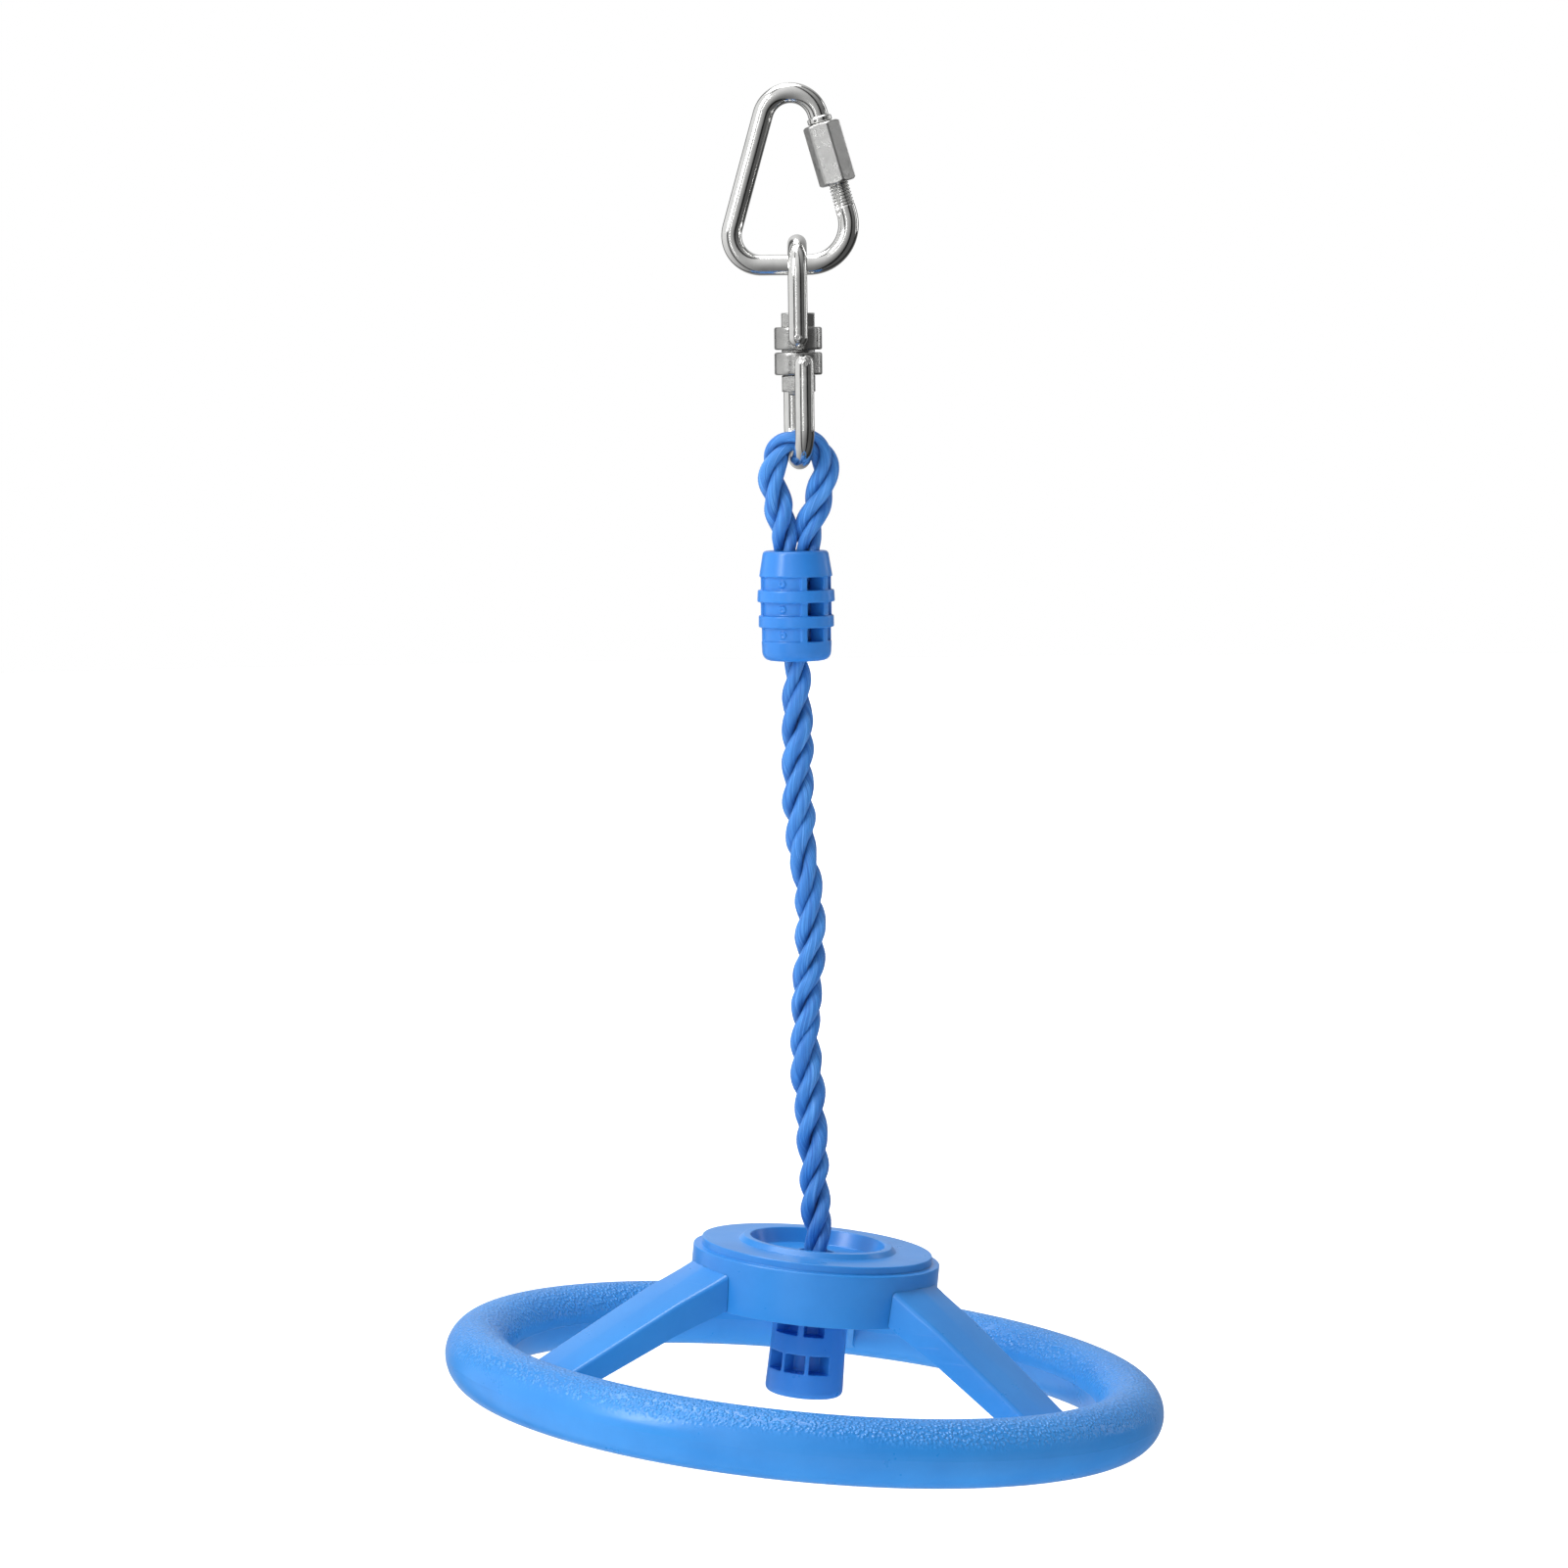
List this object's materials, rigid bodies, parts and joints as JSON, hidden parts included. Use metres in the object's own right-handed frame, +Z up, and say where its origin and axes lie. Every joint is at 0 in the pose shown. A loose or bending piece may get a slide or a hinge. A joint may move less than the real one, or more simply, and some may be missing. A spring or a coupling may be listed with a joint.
{
  "type": "rope_hand_wheel",
  "caption": "Blue moulded hand wheel hanging on a short rope with moulded ferrules, a steel swivel and a triangular quick link",
  "frame": {"origin": "The inside of the quick link's top bow, where it rests on whatever it hangs from.", "axes": "+Z up. The quick link lies in the XZ plane with its sleeve nut on the +X side. The object's front faces -Y. The rope hangs down -Z to the wheel."},
  "size_m": [0.2836, 0.285, 0.5356],
  "materials": {
    "steel": "gloss",
    "plastic": "satin",
    "rope": "matte"
  },
  "bodies": {
    "link": {"link_body": "steel"},
    "sleeve": {"link_sleeve": "steel"},
    "upper_loop": {"upper_bail": "steel"},
    "upper_block": {"upper_collar": "steel", "swivel_bolt": "steel", "swivel_washer": "steel", "swivel_nut": "steel"},
    "lower_block": {"lower_collar": "steel"},
    "lower_loop": {"lower_bail": "steel"},
    "rope_top": {"rope_loop": "rope", "rope_core": "rope", "upper_ferrule": "plastic", "rope_upper": "rope"},
    "rope_end": {"rope_bend": "rope", "rope_lower": "rope", "lower_ferrule": "plastic"},
    "wheel": {"wheel_hub": "plastic", "wheel_spokes": "plastic", "wheel_rim": "plastic"}
  },
  "joints": [
    {"name": "sleeve_screw", "type": "slide", "parent": "link", "child": "sleeve", "axis": [0.2723, 0, -0.9622], "range_m": [0, 0.012]},
    {"name": "upper_loop_swing", "type": "hinge", "parent": "link", "child": "upper_loop", "pos_m": [0.002, 0, -0.0624], "axis": [1, 0, 0], "range_deg": [-80, 80]},
    {"name": "block_swing", "type": "hinge", "parent": "upper_loop", "child": "upper_block", "pos_m": [0.002, 0, -0.0906], "axis": [0, 1, 0], "range_deg": [-45, 45]},
    {"name": "swivel_spin", "type": "hinge", "parent": "upper_block", "child": "lower_block", "pos_m": [0.002, 0, -0.1007], "axis": [0, 0, 1], "continuous": true},
    {"name": "lower_loop_swing", "type": "hinge", "parent": "lower_block", "child": "lower_loop", "pos_m": [0.002, 0, -0.1007], "axis": [-0.1633, 0.9866, 0], "range_deg": [-45, 45]},
    {"name": "rope_swing", "type": "hinge", "parent": "lower_loop", "child": "rope_top", "pos_m": [0.002, 0, -0.1381], "axis": [-0.1633, 0.9866, 0], "range_deg": [-60, 60]},
    {"name": "rope_flex", "type": "hinge", "parent": "rope_top", "child": "rope_end", "pos_m": [0.0039, 0, -0.328], "axis": [1, 0, 0], "range_deg": [-30, 30], "deforming": ["rope_bend"]},
    {"name": "wheel_spin", "type": "hinge", "parent": "rope_end", "child": "wheel", "pos_m": [-0.0003, 0, -0.5011], "axis": [0.1045, 0, 0.9945], "continuous": true}
  ]
}
